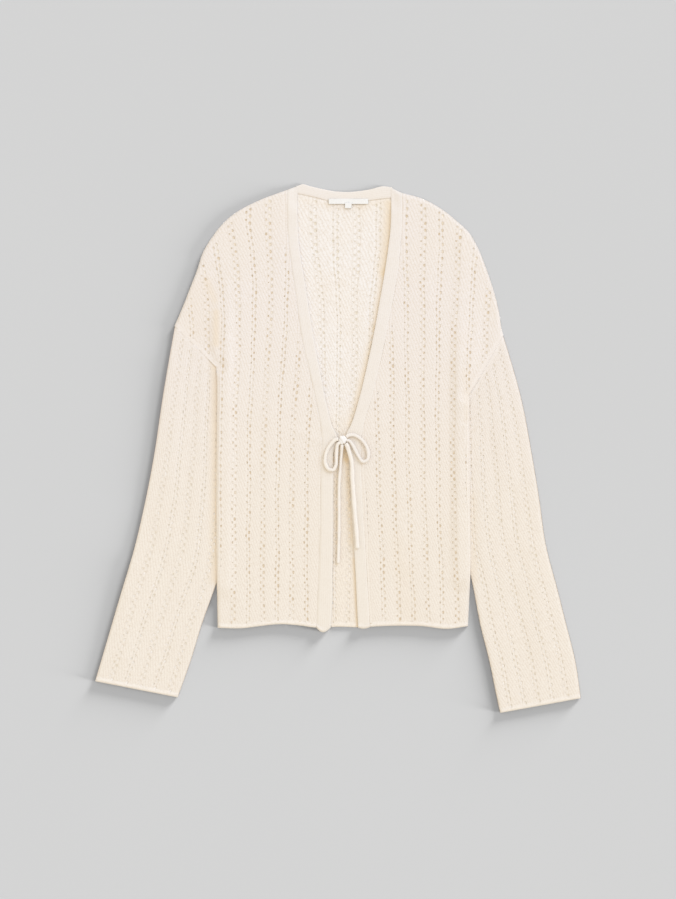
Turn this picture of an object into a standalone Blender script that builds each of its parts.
"""A lace-knit cardigan with a tie front, laid flat on its back with its sleeves along its sides.

The tables and sizes are in millimetres, and Blender's units are metres. X runs to the right as seen
from above, Y towards the neck, and Z up from the surface that the cardigan lies on. Left and right
are as seen from above. The origin is under the middle of the cardigan.
"""

import math
from collections import Counter, namedtuple

import bmesh
import bpy
import numpy as np

MM = 0.001

# The cloth
WALL = 1.2  # thickness of the knitted wall
LACE_HEIGHT = 0.5  # how far the knit stands up between two lines of eyelets
LACE_PITCH = 18.3  # from one line of eyelets to the next
BACK_PITCH = 26.5  # the same on the back, which is stretched wider at the neck
SEAM = 0.3  # gap between two pieces that are sewn together
EDGE_ROUND = 5.0  # over this width a fold edge turns down
BACK_INSET = 3.5  # the back's outline lies this far inside the front's
BACK_SEAM_INSETS = (1.2 * BACK_INSET, 1.3 * BACK_INSET)  # along the armhole seam, at its inner and outer ends
ROLL_WIDTH = 4.8  # rolled hem and cuff
ROLL_HEIGHT = 1.8
AIR = 0.8  # air under the fronts, between their folds
SLEEVE_AIR = 0.5  # air between the two layers of a sleeve, where it is pressed flat

# The trim
BAND_HEIGHT = 2.0
CROWN_EDGE = 0.6  # a band's height at its edges, as a share of the height in its middle
CROWN_POWER = 4  # how flat a band is in its middle
LABEL_HEIGHT = 0.6
TIE_DIAMETER = 4.2
TIE_STEP = 1.5 * TIE_DIAMETER  # from one point of a tie's tube to the next
TIE_STRAIGHT = 2.0  # a tie leaves the knot straight for this length
BAND_DIP = {"left": 2.0, "right": 0.5}  # how far the bands' lower ends hang below their corners

# The sleeves are tucked under the sides of the body, which rise over them
TUCK = 12.0  # how far a sleeve reaches under the body
TUCK_SLOPE = 16.0  # over this width the body comes down again
TUCK_LIFT = 2 * WALL + SLEEVE_AIR + SEAM + 0.5
SLEEVE_FREE = (2.0, 20.0)  # a sleeve swells to its full thickness between these distances from the body

# Spacing of the rows and columns that the walls are made from
ROW_STEP = 46.0
COLUMN_STEP = LACE_PITCH / 2
SLEEVE_UNDER_STEP = 22.0
CORNER_ROW = 6.0  # the row just below the armhole
EDGE_INSETS = [0.0, 0.7, 2.1, EDGE_ROUND]  # across an edge that turns down
ROLL_INSETS = [0.0, 0.9, 2.4, 3.9, 5.6]  # across a rolled edge
FEW_INSETS = [0.0, 2.1, EDGE_ROUND]  # across a fold edge of the lower layer
BAND_COLUMNS = [0.0, 0.12, 0.5, 0.88, 1.0]
NECK_STEP = 6.0
BACK_SIDE_COLUMNS = [0.0, 6.0, 12.0, 20.0, 28.0, 60.0]
BACK_FIRST = -54.9  # the first line of eyelets that the neck shows on the back
BACK_LINES = 5
DROP_EDGE_SHARE = 0.8  # the most of the dropped shoulder that its turned edge takes, near its lower end
BACK_SHOWN = ((-75.0, -60.0), (-92.0, -77.0))  # the neck shows the back between these
GAP_SHOWN = ((-4.5, 0.0), (-22.0, -17.0))  # and the gap between the bands shows it here

Point = namedtuple("Point", "x y")
BandRow = namedtuple("BandRow", "y seam edge")
LaceRow = namedtuple("LaceRow", "y first pitch")
Fold = namedtuple("Fold", "x1 y1 x2 y2 width height")
Tuck = namedtuple("Tuck", "edge rise_from rise_to fall_from fall_to outside")
TiePoint = namedtuple("TiePoint", "x y z")
Tie = namedtuple("Tie", "name leaves route returns")

# Shoulders, from the neck to the fold over the sleeve, and on to the armhole seam
SHOULDER = {
    "left": [
        Point(-45.5, 333.6), Point(-64.0, 326.6), Point(-91.0, 317.0), Point(-109.9, 308.7),
        Point(-135.1, 293.6), Point(-150.0, 279.0), Point(-162.5, 262.0),
    ],
    "right": [
        Point(63.1, 331.5), Point(80.8, 322.7), Point(104.8, 316.3), Point(132.6, 301.2),
        Point(151.5, 286.0), Point(167.0, 271.0), Point(173.5, 260.0),
    ],
}
DROP = {
    "left": [
        Point(-162.5, 262.0), Point(-170.5, 248.1), Point(-178.0, 225.4), Point(-186.9, 202.7),
        Point(-195.7, 179.9), Point(-204.0, 160.5),
    ],
    "right": [
        Point(173.5, 260.0), Point(179.3, 248.1), Point(188.1, 225.4), Point(195.7, 202.7),
        Point(202.5, 177.0), Point(207.0, 149.0),
    ],
}
# Armhole seams, from the side of the body out to the sleeve's outer edge
ARMHOLE = {
    "left": [Point(-152.8, 102.9), Point(-205.8, 155.3)],
    "right": [Point(165.5, 68.5), Point(208.3, 143.3)],
}
# Side edges from the hem up to the armhole, and the fold from there up to the shoulder
SIDE = {
    "left": [Point(-152.0, -226.4), Point(-153.2, -160.0), Point(-152.8, 102.9)],
    "right": [Point(164.2, -224.1), Point(166.4, -180.0), Point(166.7, -60.0), Point(165.5, 68.5)],
}
FOLD_LINE = {
    "left": [Point(-152.8, 102.9), Point(-153.6, 160.0), Point(-157.0, 220.0), Point(-162.5, 262.0)],
    "right": [Point(165.5, 68.5), Point(166.5, 140.0), Point(169.0, 210.0), Point(173.5, 260.0)],
}
# The hem, across both fronts and the back
HEM = [
    Point(-152.0, -226.4), Point(-120.0, -226.7), Point(-98.5, -224.1), Point(-73.2, -221.6),
    Point(-51.8, -222.9), Point(-27.4, -226.0), Point(2.5, -225.0), Point(25.3, -225.8),
    Point(54.3, -224.1), Point(80.8, -223.5), Point(106.1, -224.1), Point(137.6, -227.6),
    Point(164.2, -224.1),
]
# Front bands: the seam to the front, and the open edge
BAND = {
    "left": [
        BandRow(-229.6, -27.4, -9.4), BandRow(-205.2, -26.5, -7.6), BandRow(-159.7, -24.6, -6.9),
        BandRow(-102.9, -22.7, -6.3), BandRow(-22.1, -21.5, -5.7), BandRow(-3.0, -20.8, -4.8),
        BandRow(6.9, -20.4, -0.6), BandRow(14.5, -20.8, -0.6), BandRow(29.7, -22.1, -7.6),
        BandRow(48.6, -25.6, -12.6), BandRow(96.6, -35.9, -22.3), BandRow(124.4, -42.9, -27.8),
        BandRow(167.3, -49.9, -34.9), BandRow(217.8, -56.8, -42.9), BandRow(240.5, -59.9, -46.7),
        BandRow(263.3, -62.8, -49.8), BandRow(290.0, -64.0, -50.9), BandRow(329.0, -64.0, -50.9),
    ],
    "right": [
        BandRow(-226.6, 40.4, 25.3), BandRow(-205.2, 39.1, 24.2), BandRow(-159.7, 36.6, 22.1),
        BandRow(-124.4, 34.7, 20.0), BandRow(-90.3, 32.2, 17.7), BandRow(-33.5, 29.4, 14.6),
        BandRow(-3.0, 29.0, 13.0), BandRow(6.9, 29.4, 10.4), BandRow(15.8, 30.2, 9.6),
        BandRow(29.7, 32.6, 16.0), BandRow(61.2, 42.3, 26.0), BandRow(96.6, 50.5, 34.7),
        BandRow(124.4, 57.2, 40.9), BandRow(155.9, 63.1, 47.1), BandRow(187.5, 69.7, 52.7),
        BandRow(219.1, 75.1, 58.2), BandRow(250.6, 78.9, 62.9), BandRow(273.4, 80.4, 65.7),
        BandRow(300.0, 80.8, 66.9), BandRow(329.0, 80.8, 66.9),
    ],
}
# The back neck band, from left to right: its upper edge, which is the outline, and its seam
NECK_TOP = [
    Point(-50.5, 331.6), Point(-45.5, 333.6), Point(-35.4, 331.3), Point(-20.2, 327.7), Point(-3.8, 324.8),
    Point(8.8, 323.9), Point(25.3, 324.8), Point(42.9, 327.7), Point(56.8, 331.1), Point(66.5, 330.0),
]
NECK_SEAM = [
    Point(-50.5, 321.5), Point(-29.0, 316.9), Point(-10.1, 311.9), Point(8.8, 310.0), Point(27.8, 310.6),
    Point(46.7, 313.8), Point(66.5, 316.0),
]
# Sleeves from the armhole seam to the cuff: the outer edge, and the edge beside or under the body
SLEEVE_OUTER = {
    "left": [
        Point(-205.8, 154.8), Point(-212.1, 119.3), Point(-222.2, 58.7), Point(-231.1, -1.9),
        Point(-242.4, -62.5), Point(-256.3, -123.1), Point(-276.5, -191.3), Point(-294.2, -251.9),
        Point(-306.5, -293.6),
    ],
    "right": [
        Point(208.5, 142.6), Point(218.4, 110.0), Point(232.3, 58.7), Point(243.7, -1.9),
        Point(253.8, -62.5), Point(262.6, -123.1), Point(276.5, -176.1), Point(287.9, -221.6),
        Point(299.3, -267.1), Point(306.5, -315.0),
    ],
}
SLEEVE_INNER = {
    "left": [
        Point(-141.0, 90.0), Point(-141.0, 30.0), Point(-141.0, -60.0), Point(-142.5, -110.0),
        Point(-146.5, -145.0), Point(-151.5, -164.0), Point(-158.4, -184.0), Point(-171.7, -221.6),
        Point(-185.6, -267.1), Point(-202.3, -314.0),
    ],
    "right": [
        Point(154.5, 48.2), Point(154.7, 0.0), Point(155.0, -60.0), Point(157.0, -105.0),
        Point(160.5, -130.0), Point(164.8, -148.0), Point(170.8, -176.1), Point(179.3, -221.6),
        Point(190.7, -267.1), Point(200.0, -312.5), Point(204.6, -333.6),
    ],
}
# The first line of eyelets and the pitch from there, counted from the side of the body
LACE = {
    "left": [LaceRow(-205.2, -150.6, 18.3), LaceRow(12.0, -149.4, 18.4), LaceRow(238.0, -152.2, 22.0),
             LaceRow(283.5, -161.6, 24.2)],
    "right": [LaceRow(-205.2, 167.9, -18.3), LaceRow(-36.0, 163.4, -18.8), LaceRow(150.0, 166.0, -20.0),
              LaceRow(283.5, 176.0, -23.0)],
}
# Where the body rises over a sleeve, in Y, and how far the rise spreads beyond its edge
TUCKS = {
    "left": Tuck(-152.8, 225.0, 106.0, -172.0, -195.0, 12.0),
    "right": Tuck(166.2, 200.0, 72.0, -162.0, -184.0, 26.0),
}
# The largest soft folds of the upper layer: ridges, and troughs where the height is negative
FOLDS = [
    Fold(-140.0, 60.0, -138.0, 215.0, 14.0, 0.9),
    Fold(-151.0, 120.0, -157.0, 225.0, 7.0, -0.8),
    Fold(-118.0, 190.0, -60.0, 255.0, 16.0, 0.7),
    Fold(-120.0, -190.0, -75.0, -120.0, 18.0, 0.8),
    Fold(-60.0, -205.0, -48.0, -130.0, 13.0, -0.7),
    Fold(-88.0, 40.0, -60.0, 110.0, 16.0, 0.6),
    Fold(80.0, -140.0, 92.0, -60.0, 20.0, 0.8),
    Fold(140.0, -160.0, 150.0, -90.0, 13.0, 0.9),
    Fold(76.0, -205.0, 84.0, -165.0, 12.0, -0.7),
    Fold(150.0, 60.0, 157.0, 262.0, 10.0, 1.0),
    Fold(166.0, 80.0, 196.0, 190.0, 9.0, -0.8),
    Fold(120.0, 120.0, 105.0, 230.0, 16.0, 0.6),
    Fold(-205.0, 100.0, -216.0, -40.0, 13.0, 0.9),
    Fold(-183.0, 60.0, -196.0, -110.0, 9.0, -0.5),
    Fold(-262.0, -150.0, -272.0, -262.0, 15.0, 1.2),
    Fold(-206.0, -200.0, -232.0, -285.0, 11.0, -0.5),
    Fold(203.0, 80.0, 219.0, -40.0, 13.0, 0.9),
    Fold(186.0, 20.0, 200.0, -100.0, 9.0, -0.5),
    Fold(248.0, -130.0, 262.0, -250.0, 16.0, 1.2),
    Fold(222.0, -190.0, 238.0, -290.0, 11.0, -0.5),
]

# The bow: the knot's centre and half sizes, the way each strand leaves it, and the routes
KNOT_CENTRE = (6.0, 10.8, 8.3)
KNOT_HALF = (5.2, 5.8, 3.3)
KNOT_SEGMENTS = 12
KNOT_RINGS = 8
LOOP_LEFT = [
    TiePoint(-8.4, 6.0, 7.5), TiePoint(-13.4, -1.5, 7.3), TiePoint(-16.2, -10.5, 7.3), TiePoint(-15.8, -19.5, 7.3),
    TiePoint(-11.8, -26.0, 7.3), TiePoint(-6.2, -27.0, 7.3), TiePoint(-3.0, -22.0, 7.3), TiePoint(-2.2, -11.0, 7.3),
    TiePoint(-1.6, -1.0, 7.6),
]
LOOP_RIGHT = [
    TiePoint(19.6, 17.0, 7.8), TiePoint(28.2, 12.4, 7.4), TiePoint(35.0, 4.0, 7.4), TiePoint(38.2, -6.0, 7.4),
    TiePoint(36.6, -14.4, 7.4), TiePoint(31.6, -16.6, 7.4), TiePoint(26.6, -11.0, 7.4), TiePoint(21.6, -1.8, 7.4),
    TiePoint(17.4, 6.0, 7.9),
]
TAIL_LEFT = [
    TiePoint(4.4, -4.0, 5.8), TiePoint(3.4, -15.0, 4.0), TiePoint(2.6, -27.0, 3.9), TiePoint(1.5, -42.3, 3.9),
    TiePoint(1.3, -77.7, 3.9), TiePoint(1.1, -109.2, 3.9), TiePoint(0.2, -143.3, 3.9),
]
TAIL_RIGHT = [
    TiePoint(13.4, -2.4, 7.8), TiePoint(16.6, -14.0, 7.4), TiePoint(18.3, -39.8, 7.4), TiePoint(20.0, -65.0, 7.4),
    TiePoint(22.0, -90.3, 7.4), TiePoint(23.6, -109.2, 7.4), TiePoint(24.4, -124.4, 7.4),
]

# The ties: the direction in which each leaves the knot, in degrees from X towards Y, and in which it
# comes back to it, or None for a free end
TIES = [
    Tie("tie_loop_left", 174.0, LOOP_LEFT, 220.0),
    Tie("tie_loop_right", 40.0, LOOP_RIGHT, 354.0),
    Tie("tie_tail_left", 263.0, TAIL_LEFT, None),
    Tie("tie_tail_right", 308.0, TAIL_RIGHT, None),
]

# The label and its tab, along the back neck
LABEL = {"left": -12.0, "right": 38.0, "up": 315.0, "down": 308.4}
TAB = {"left": 8.8, "right": 17.0, "up": 310.0, "down": 303.0}

CREAM = (0.90, 0.85, 0.77)
LABEL_COLOUR = (0.88, 0.85, 0.80)
ROUGHNESS = 0.9
SHARP_ANGLE = math.radians(50)
MIDDLE = np.array([0.0, 60.0])  # a point well inside the body's outline


def ramp(values, start, end):
    """0 before start, 1 after end, and a soft step between them."""
    t = np.clip((np.asarray(values, float) - start) / (end - start), 0.0, 1.0)
    return t * t * (3.0 - 2.0 * t)


def smooth(keys, values, at):
    """The value at each place on a smooth curve through the rows of a table."""
    keys = np.asarray(keys, float)
    values = np.asarray(values, float)
    at = np.clip(np.asarray(at, float), keys[0], keys[-1])
    slopes = np.gradient(values, keys, axis=0)
    cell = np.clip(np.searchsorted(keys, at, side="right") - 1, 0, len(keys) - 2)
    span = keys[cell + 1] - keys[cell]
    t = (at - keys[cell]) / span
    if values.ndim > 1:
        span = span[..., None]
        t = t[..., None]
    start = (1.0 + 2.0 * t) * (1.0 - t) ** 2 * values[cell]
    end = t * t * (3.0 - 2.0 * t) * values[cell + 1]
    bend = t * (1.0 - t) * span * ((1.0 - t) * slopes[cell] - t * slopes[cell + 1])
    return start + end + bend


def along(points):
    """A function of 0 to 1 that runs along a smooth curve through the points."""
    points = np.array(points, float)
    steps = np.linalg.norm(np.diff(points, axis=0), axis=1)
    reach = np.concatenate([[0.0], np.cumsum(steps)])
    return lambda t: smooth(reach / reach[-1], points, t)


def length(points):
    points = np.array(points, float)
    return np.linalg.norm(np.diff(points, axis=0), axis=1).sum()


def in_turn(first, second, share):
    """A function of 0 to 1 that runs along the first points up to share, and then along the second."""
    one = along(first)
    two = along(second)

    def at(t):
        t = np.asarray(t, float)
        early = one(np.minimum(t / share, 1.0))
        late = two(np.maximum((t - share) / (1.0 - share), 0.0))
        return np.where((t <= share)[..., None], early, late)

    return at


def patch(low, high, near, far, us, vs):
    """Points between four edges: low and high over us, near and far over vs, which may differ by column."""
    vs = vs if vs.ndim == 2 else vs[:, None] + 0.0 * us
    u = us[None, :, None]
    v = vs[..., None]
    low = low(us)[None]
    high = high(us)[None]
    near = near(vs)
    far = far(vs)
    corners = (1 - v) * ((1 - u) * low[:, :1] + u * low[:, -1:]) + v * ((1 - u) * high[:, :1] + u * high[:, -1:])
    return (1 - v) * low + v * high + (1 - u) * near + u * far - corners


def from_line(line, points):
    """How far each point lies from a line, and the direction from there to the inside."""
    line = np.array(line, float)
    start = line[:-1]
    step = line[1:] - start
    offset = points[..., None, :] - start
    share = np.clip((offset * step).sum(-1) / (step * step).sum(-1), 0.0, 1.0)
    gap = np.linalg.norm(offset - share[..., None] * step, axis=-1)
    nearest = gap.argmin(-1)
    normal = np.stack([step[:, 1], -step[:, 0]], -1) / np.linalg.norm(step, axis=1)[:, None]
    normal *= np.sign((normal * (MIDDLE - start)).sum(-1))[:, None]
    return gap.min(-1), normal[nearest]


def inset(line, distance):
    """The same line, moved to the inside."""
    line = np.array(line, float)
    return line + distance * from_line(line, line)[1]


def spread(insets, total, step, ends):
    """Fractions of 0 to 1: the insets from the start, even steps, and the insets back from the end if ends is set."""
    insets = np.array(insets, float) / total
    stop = 1.0 - insets[-1] if ends else 1.0
    count = max(2, round((stop - insets[-1]) * total / step) + 1)
    middle = np.linspace(insets[-1], stop, count)
    tail = 1.0 - insets[::-1] if ends else np.array([1.0])
    return np.concatenate([insets[:-1], middle[:-1], tail])


def lift(points):
    """How far the body rises over the tucked sleeves."""
    x = points[..., 0]
    y = points[..., 1]
    total = np.zeros(x.shape)
    for tuck in TUCKS.values():
        inward = (tuck.edge - x) * np.sign(tuck.edge)
        across = ramp(-inward, -(TUCK + TUCK_SLOPE), -TUCK) * ramp(inward, -tuck.outside, 0.0)
        lengthways = ramp(-y, -tuck.rise_from, -tuck.rise_to) * ramp(y, tuck.fall_to, tuck.fall_from)
        total += TUCK_LIFT * across * lengthways
    return total


def folds(points):
    """Height of the soft folds at each point."""
    total = np.zeros(points.shape[:-1])
    for fold in FOLDS:
        start = np.array([fold.x1, fold.y1])
        step = np.array([fold.x2, fold.y2]) - start
        offset = points - start
        share = np.clip((offset @ step) / (step @ step), 0.0, 1.0)
        gap = np.linalg.norm(offset - share[..., None] * step, axis=-1)
        total += fold.height * np.exp(-((gap / fold.width) ** 2))
    return total


def roll(distance):
    """Height of a rolled edge above the cloth, at a distance from the edge."""
    half = ROLL_WIDTH / 2
    return ROLL_HEIGHT * np.sqrt(np.clip(1.0 - ((distance - half) / half) ** 2, 0.0, 1.0))


def lace(points, side):
    """Height of the raised knit between two lines of eyelets."""
    rows = LACE[side]
    keys = [row.y for row in rows]
    first = smooth(keys, [row.first for row in rows], points[..., 1])
    pitch = smooth(keys, [row.pitch for row in rows], points[..., 1])
    return LACE_HEIGHT * (0.5 - 0.5 * np.cos(math.tau * (points[..., 0] - first) / pitch))


def under_front(points):
    """Height of the upper layer's underside over the body."""
    return lift(points) + WALL + LACE_HEIGHT + SEAM + np.maximum(AIR + folds(points), 0.0)


def turned_down(points, lines, thickness, extra):
    """Outer and inner points of an upper layer whose edges along the lines turn down round the layer below."""
    gap, inward = from_line(lines[0], points)
    for line in lines[1:]:
        other_gap, other_inward = from_line(line, points)
        inward = np.where((other_gap < gap)[..., None], other_inward, inward)
        gap = np.minimum(gap, other_gap)
    share = np.clip(gap / EDGE_ROUND, 0.0, 1.0)
    arch = np.sqrt(1.0 - (1.0 - share) ** 2)
    foot = lift(points)
    under = under_front(points) - foot
    outer = np.concatenate([points, (foot + (under + thickness + extra) * arch)[..., None]], -1)
    moved = points + inward * (WALL * (1.0 - share))[..., None]
    inner = np.concatenate([moved, (foot + under * arch)[..., None]], -1)
    return outer, inner


def material(name, colour):
    made = bpy.data.materials.new(name)
    made.use_nodes = True
    shader = made.node_tree.nodes["Principled BSDF"]
    shader.inputs["Base Color"].default_value = (*colour, 1.0)
    shader.inputs["Roughness"].default_value = ROUGHNESS
    shader.inputs["Metallic"].default_value = 0.0
    return made


def finish(name, data, colour, collection):
    """An object of this mesh or curve, with its own material, in the collection."""
    data.materials.append(material(name, colour))
    made = bpy.data.objects.new(name, data)
    collection.objects.link(made)
    return made


def wall(name, grids, colour, collection):
    """A closed wall from grids of outer and inner points, in pairs, with a rim round its open edges."""
    numbers = {}
    points = []
    faces = []
    edges = Counter()
    for outer, inner in grids:
        pairs = np.concatenate([outer, inner], -1)
        rows, columns = pairs.shape[:2]
        grid = np.empty((rows, columns), int)
        for row in range(rows):
            for column in range(columns):
                pair = tuple(round(float(value), 3) for value in pairs[row, column])
                grid[row, column] = numbers.setdefault(pair, len(numbers))
        for row in range(rows - 1):
            for column in range(columns - 1):
                cell = (grid[row, column], grid[row, column + 1], grid[row + 1, column + 1], grid[row + 1, column])
                cell = list(dict.fromkeys(int(number) for number in cell))
                if len(cell) < 3:
                    continue
                faces.append([2 * number for number in cell])
                faces.append([2 * number + 1 for number in reversed(cell)])
                edges.update(frozenset(pair) for pair in zip(cell, cell[1:] + cell[:1]))
    for a, b in (tuple(edge) for edge, uses in edges.items() if uses == 1):
        faces.append([2 * a, 2 * b, 2 * b + 1, 2 * a + 1])
    for pair in numbers:
        points.append([value * MM for value in pair[:3]])
        points.append([value * MM for value in pair[3:]])
    mesh = bpy.data.meshes.new(name)
    mesh.from_pydata(points, [], faces)
    shape = bmesh.new()
    shape.from_mesh(mesh)
    bmesh.ops.recalc_face_normals(shape, faces=shape.faces)
    shape.to_mesh(mesh)
    shape.free()
    mesh.shade_smooth()
    mesh.set_sharp_from_angle(angle=SHARP_ANGLE)
    return finish(name, mesh, colour, collection)


def hem_at(x):
    return float(smooth([point.x for point in HEM], [point.y for point in HEM], np.array([x]))[0])


def hem_between(start, end):
    """The hem's points from one X to another."""
    inside = [point for point in HEM if min(start, end) + 1.0 < point.x < max(start, end) - 1.0]
    inside.sort(key=lambda point: point.x, reverse=bool(end < start))
    return [Point(start, hem_at(start)), *inside, Point(end, hem_at(end))]


def hem_gap(points):
    """How far each point lies above the hem."""
    return points[..., 1] - smooth([point.x for point in HEM], [point.y for point in HEM], points[..., 0])


def filled(levels):
    """The levels in order, with more of them where two lie far apart."""
    levels = sorted(levels)
    result = []
    for low, high in zip(levels, levels[1:]):
        steps = math.ceil((high - low) / ROW_STEP)
        result += [low + (high - low) * step / steps for step in range(steps)]
    return result + levels[-1:]


def seam_levels(side):
    """Heights of the rows that a front and its band share, so that their seam runs through the same points."""
    corner = SIDE[side][-1].y
    turn = corner - CORNER_ROW
    rows = [row.y for row in BAND[side][1:-1] if not turn - CORNER_ROW / 2 < row.y < corner + CORNER_ROW / 2]
    return filled([*rows, turn, corner])


def seam_line(side, gap):
    """X of the seam between a front and its band at each height, moved into the front by a gap."""
    sign = -1.0 if side == "left" else 1.0
    rows = BAND[side]
    return lambda y: smooth([row.y for row in rows], [row.seam + sign * gap for row in rows], y)


def drop_columns(side):
    """Fractions for the columns of the dropped shoulder, from the body out to its lower end."""
    return 1.0 - spread(EDGE_INSETS, length(ARMHOLE[side]), COLUMN_STEP, False)[::-1]


def drop_patch(armhole, outline, fold, columns, rows):
    """The dropped shoulder: rows at an edge that turns down keep their distance from it in each column."""
    low = along(armhole)
    high = along(outline)
    reach = np.linalg.norm(high(columns) - low(columns), axis=1)
    edge = EDGE_ROUND / reach[0]
    edges = np.minimum(EDGE_ROUND / reach, DROP_EDGE_SHARE)
    rows = rows[:, None]
    inner = rows / (1.0 - edge) * (1.0 - edges)
    outer = 1.0 - (1.0 - rows) / edge * edges
    places = np.where(rows <= 1.0 - edge, inner, outer)
    return patch(low, high, along(fold), along([armhole[-1], outline[-1]]), columns, places)


def front(side, collection):
    corner = SIDE[side][-1]
    band = BAND[side]
    seam = seam_line(side, SEAM)
    shoulder = [point for point in SHOULDER[side] if abs(point.x) >= abs(band[-1].seam)]
    below = length(SIDE[side])
    share = below / (below + length(FOLD_LINE[side]))
    hem = hem_at(band[0].seam)
    top = shoulder[0].y
    levels = [hem + gap for gap in ROLL_INSETS] + seam_levels(side) + [top - gap for gap in EDGE_INSETS[::-1]]
    rows = np.interp(levels, [hem, corner.y, top], [0.0, share, 1.0])

    def at_seam(fractions):
        y = np.interp(fractions, [0.0, share, 1.0], [hem, corner.y, top])
        return np.stack([seam(y), y], -1)

    first_line = abs(SIDE[side][0].x) - abs(LACE[side][0].first)
    first_line += COLUMN_STEP * math.ceil((EDGE_ROUND + 1.0 - first_line) / COLUMN_STEP)
    width = abs(SIDE[side][0].x - band[0].seam)
    columns = np.array([*EDGE_INSETS, *np.arange(first_line, width - COLUMN_STEP / 2, COLUMN_STEP), width]) / width
    body = patch(
        along([*hem_between(SIDE[side][0].x, band[0].seam)[:-1], at_seam(0.0)]),
        along([*reversed(shoulder[1:]), at_seam(1.0)]),
        in_turn(SIDE[side], FOLD_LINE[side], share),
        at_seam,
        columns,
        rows,
    )
    upper = (rows[rows >= share - 1e-9] - share) / (1.0 - share)
    drop = drop_patch(ARMHOLE[side], DROP[side], FOLD_LINE[side], drop_columns(side), upper)
    outline = [*SHOULDER[side], *DROP[side][1:], ARMHOLE[side][-1]]
    edge = [*SIDE[side][:-1], Point(corner.x, corner.y - CORNER_ROW / 2)]
    grids = []
    for points in (body, drop):
        gap = hem_gap(points)
        extra = lace(points, side) * ramp(gap, ROLL_WIDTH, 3 * ROLL_WIDTH) + roll(gap)
        grids.append(turned_down(points, (outline, edge), WALL, extra))
    return wall(f"front_{side}", grids, CREAM, collection)


def back(collection):
    below = length(SIDE["left"])
    share = below / (below + length(FOLD_LINE["left"]))
    bottom = SIDE["left"][0].y
    corner = SIDE["left"][-1].y
    top = NECK_SEAM[0].y
    levels = filled([bottom + gap for gap in ROLL_INSETS] + [corner - CORNER_ROW, corner, top])
    rows = np.interp(levels, [bottom, corner, top], [0.0, share, 1.0])
    lines = {}
    for side in ("left", "right"):
        inner, outer = ARMHOLE[side]
        step = np.array([outer.x - inner.x, outer.y - inner.y])
        step /= np.linalg.norm(step)
        corner = np.array(inner) - step * BACK_SEAM_INSETS[0]
        shoulder = inset(SHOULDER[side][1:], BACK_INSET)
        drop = inset(DROP[side], BACK_INSET)
        drop[0] = shoulder[-1]
        hem_corner = inset(SIDE[side], BACK_INSET)
        lines[side] = {
            "side": [*hem_corner[:-1], corner],
            "fold": [corner, *FOLD_LINE[side][1:-1], shoulder[-1]],
            "shoulder": shoulder,
            "armhole": [corner, np.array(outer) - step * BACK_SEAM_INSETS[1]],
            "drop": drop,
        }
    left = lines["left"]
    right = lines["right"]
    neck = [Point(point.x, point.y - 2 * SEAM) for point in NECK_SEAM]
    hem = hem_between(left["side"][0][0], right["side"][0][0])
    left["side"][0] = hem[0]
    right["side"][0] = hem[-1]
    width = hem[-1].x - hem[0].x
    strip = np.array(BACK_SIDE_COLUMNS)
    middle = BACK_FIRST - hem[0].x + BACK_PITCH / 2 * np.arange(2 * BACK_LINES + 1)
    columns = np.concatenate([strip, middle, width - strip[::-1]]) / width
    top_line = np.array([*left["shoulder"][::-1], *neck, *right["shoulder"]])

    def at_top(fractions):
        x = top_line[0, 0] + fractions * (top_line[-1, 0] - top_line[0, 0])
        return np.stack([x, smooth(top_line[:, 0], top_line[:, 1], x)], -1)

    body = patch(
        along(hem),
        at_top,
        in_turn(left["side"], left["fold"], share),
        in_turn(right["side"], right["fold"], share),
        columns,
        rows,
    )
    upper = (rows[rows >= share - 1e-9] - share) / (1.0 - share)
    sheets = [body]
    for side, line in lines.items():
        sheets.append(drop_patch(line["armhole"], line["drop"], line["fold"], drop_columns(side)[::2], upper))
    grids = []
    for points in sheets:
        x = points[..., 0]
        shown = ramp(x, *BACK_SHOWN[0]) * ramp(-x, *BACK_SHOWN[1])
        gap = hem_gap(points)
        between = ramp(x, *GAP_SHOWN[0]) * ramp(-x, *GAP_SHOWN[1])
        relief = LACE_HEIGHT * shown * (0.5 - 0.5 * np.cos(math.tau * (x - BACK_FIRST) / BACK_PITCH))
        under = lift(points)
        over = under + WALL + relief * ramp(gap, ROLL_WIDTH, 2 * ROLL_WIDTH) + roll(gap) * between
        grids.append([np.concatenate([points, height[..., None]], -1) for height in (under, over)])
    return wall("back", grids, CREAM, collection)


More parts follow.
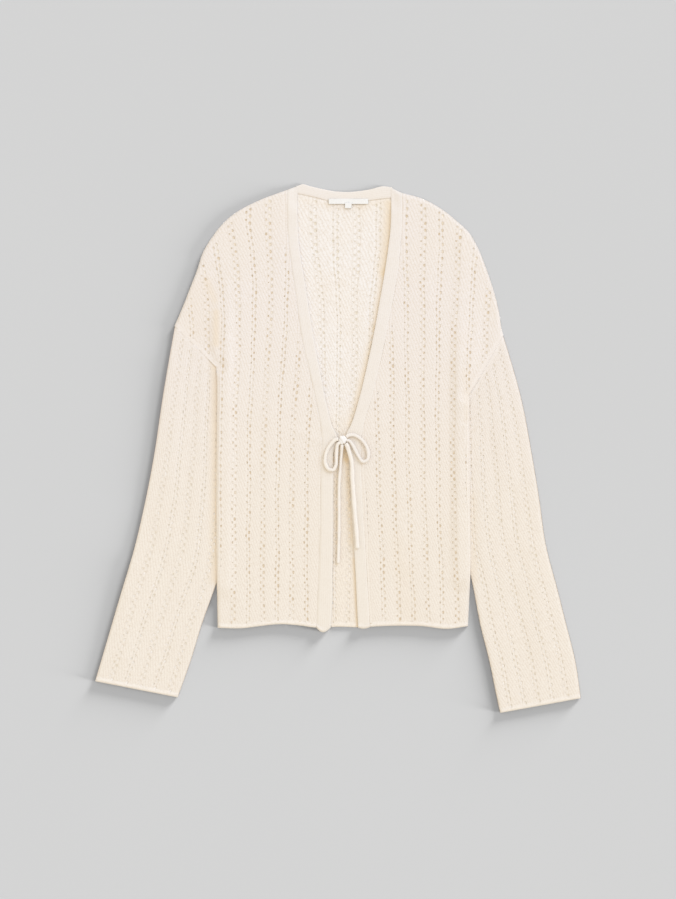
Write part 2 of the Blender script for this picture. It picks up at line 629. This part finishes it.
def sleeve(side, collection):
    """A flattened tube: rings from the armhole seam to the cuff, each once round the upper and the lower layer."""
    reach = length(SLEEVE_OUTER[side])
    rows = 1.0 - spread(ROLL_INSETS, reach, ROW_STEP, False)[::-1]
    start = along(SLEEVE_OUTER[side])(rows)[:, None]
    end = along(SLEEVE_INNER[side])(rows)[:, None]
    width = np.linalg.norm(end - start, axis=-1)
    inward = (end - start) / width[..., None]
    top = spread(EDGE_INSETS, width.mean(), COLUMN_STEP, True)
    bottom = spread(FEW_INSETS, width.mean(), SLEEVE_UNDER_STEP, True)
    tuck = TUCKS[side]
    grids = []
    for columns, way in ((top, 1.0), (bottom, -1.0)):
        points = start + (end - start) * columns[None, :, None]
        x = points[..., 0]
        y = points[..., 1]
        beside = (x - tuck.edge) * np.sign(tuck.edge)
        free = np.maximum(ramp(beside, *SLEEVE_FREE), ramp(-y, -tuck.fall_from, -tuck.fall_to))
        room = SLEEVE_AIR + free * np.maximum(AIR + folds(points), 0.0)
        half = WALL + room / 2
        from_edge = np.minimum(columns, 1.0 - columns)[None] * width
        share = np.clip(from_edge / EDGE_ROUND, 0.0, 1.0)
        arch = np.sqrt(1.0 - (1.0 - share) ** 2)
        from_cuff = (1.0 - rows)[:, None] * reach + 0.0 * columns
        relief = LACE_HEIGHT * (0.5 - 0.5 * np.cos(math.tau * columns[None] * width / LACE_PITCH))
        raised = relief * free * ramp(from_cuff, ROLL_WIDTH, 2 * ROLL_WIDTH) + roll(from_cuff)
        outer_z = half + way * half * arch + (raised * arch if way > 0 else 0.0)
        inner_z = half + way * (half - WALL) * arch
        shift = np.where(columns < 0.5, 1.0, -1.0)[None, :, None] * inward * (WALL * (1.0 - share))[..., None]
        outer = np.concatenate([points, outer_z[..., None]], -1)
        inner = np.concatenate([points + shift, inner_z[..., None]], -1)
        grids.append([outer, inner])
    return wall(f"sleeve_{side}", grids, CREAM, collection)


def crown(across):
    """Height of a band over its width, as a share of its full height."""
    return CROWN_EDGE + (1.0 - CROWN_EDGE) * np.sqrt(np.clip(1.0 - (2.0 * across - 1.0) ** CROWN_POWER, 0.0, 1.0))


def band(side, collection):
    rows = BAND[side]
    keys = [row.y for row in rows]
    outline = SHOULDER[side]
    across = np.array(BAND_COLUMNS)[None]
    top_x = rows[-1].seam + across * (rows[-1].edge - rows[-1].seam)
    order = sorted(outline)
    top = smooth([point.x for point in order], [point.y for point in order], top_x)
    bottom = keys[0] - BAND_DIP[side] * np.sin(math.pi * across)
    levels = [keys[0] + gap for gap in ROLL_INSETS] + seam_levels(side)
    fixed = np.array(levels)[:, None]
    bend = ramp(-fixed, -levels[len(ROLL_INSETS)], -keys[0])
    lower = fixed + (bottom - keys[0]) * bend
    upper = top - np.array(EDGE_INSETS[::-1])[:, None]
    y = np.concatenate([lower, upper])
    seam = smooth(keys, [row.seam for row in rows], y)
    edge = smooth(keys, [row.edge for row in rows], y)
    points = np.stack([seam + across * (edge - seam), y], -1)
    thickness = BAND_HEIGHT * crown(across) + roll(y - bottom)
    return wall(f"band_{side}", [turned_down(points, (outline,), thickness, 0.0)], CREAM, collection)


def band_neck(collection):
    start = NECK_SEAM[0].x + SEAM
    end = NECK_SEAM[-1].x - SEAM
    peak = NECK_TOP[1].x
    x = np.concatenate([[start], np.linspace(peak, end, round((end - peak) / NECK_STEP) + 1)])[:, None]
    across = np.array(BAND_COLUMNS)[None]
    low = smooth([point.x for point in NECK_SEAM], [point.y for point in NECK_SEAM], x)
    high = smooth([point.x for point in NECK_TOP], [point.y for point in NECK_TOP], x)
    y = low + across * (high - low)
    points = np.stack([x + 0.0 * across, y], -1)
    over = BAND_HEIGHT * crown(across) + 0.0 * x
    grid = [np.concatenate([points, height[..., None]], -1) for height in (over, np.zeros(y.shape))]
    return wall("band_neck", [grid], CREAM, collection)


def flat_piece(name, size, foot, collection):
    """A thin rectangle of cloth at a height above the surface."""
    mesh = bpy.data.meshes.new(name)
    shape = bmesh.new()
    bmesh.ops.create_cube(shape, size=1.0)
    for vert in shape.verts:
        x = size["left"] + (vert.co.x + 0.5) * (size["right"] - size["left"])
        y = size["down"] + (vert.co.y + 0.5) * (size["up"] - size["down"])
        z = foot + (vert.co.z + 0.5) * LABEL_HEIGHT
        vert.co = (x * MM, y * MM, z * MM)
    shape.to_mesh(mesh)
    shape.free()
    return finish(name, mesh, LABEL_COLOUR, collection)


def knot(collection):
    mesh = bpy.data.meshes.new("tie_knot")
    shape = bmesh.new()
    bmesh.ops.create_uvsphere(shape, u_segments=KNOT_SEGMENTS, v_segments=KNOT_RINGS, radius=1.0)
    for vert in shape.verts:
        vert.co = [(centre + half * value) * MM for centre, half, value in zip(KNOT_CENTRE, KNOT_HALF, vert.co)]
    shape.to_mesh(mesh)
    shape.free()
    mesh.shade_smooth()
    return finish("tie_knot", mesh, CREAM, collection)


def from_knot(angle):
    """The point where a strand leaves the knot in a direction seen from above, and one a little further on."""
    turn = math.radians(angle)
    way = np.array([math.cos(turn), math.sin(turn), 0.0])
    centre = np.array(KNOT_CENTRE)
    reach = np.linalg.norm(np.array(KNOT_HALF) * way) + SEAM
    return [centre + way * reach, centre + way * (reach + TIE_STRAIGHT)]


def strand(tie, collection):
    """A round tie that leaves the knot in one direction, runs along its route, and may come back from another."""
    points = [*from_knot(tie.leaves), *tie.route]
    if tie.returns is not None:
        points += from_knot(tie.returns)[::-1]
    free = points[1:] if tie.returns is None else points[1:-1]
    places = along(free)(np.linspace(0.0, 1.0, round(length(free) / TIE_STEP) + 1))
    places = [points[0], *places] if tie.returns is None else [points[0], *places, points[-1]]
    curve = bpy.data.curves.new(tie.name, "CURVE")
    curve.dimensions = "3D"
    curve.bevel_depth = TIE_DIAMETER / 2 * MM
    curve.bevel_resolution = 2
    curve.use_fill_caps = True
    spline = curve.splines.new("POLY")
    spline.points.add(len(places) - 1)
    for point, place in zip(spline.points, places):
        point.co = (*(float(value) * MM for value in place), 1.0)
    spline.use_smooth = True
    return finish(tie.name, curve, CREAM, collection)


def build():
    for obj in list(bpy.data.objects):
        bpy.data.objects.remove(obj, do_unlink=True)
    collection = bpy.data.collections.new("cardigan")
    bpy.context.scene.collection.children.link(collection)
    back(collection)
    band_neck(collection)
    for side in ("left", "right"):
        front(side, collection)
        sleeve(side, collection)
        band(side, collection)
    flat_piece("label", LABEL, BAND_HEIGHT + SEAM, collection)
    flat_piece("size_tab", TAB, BAND_HEIGHT + 2 * SEAM + LABEL_HEIGHT, collection)
    knot(collection)
    for tie in TIES:
        strand(tie, collection)


build()
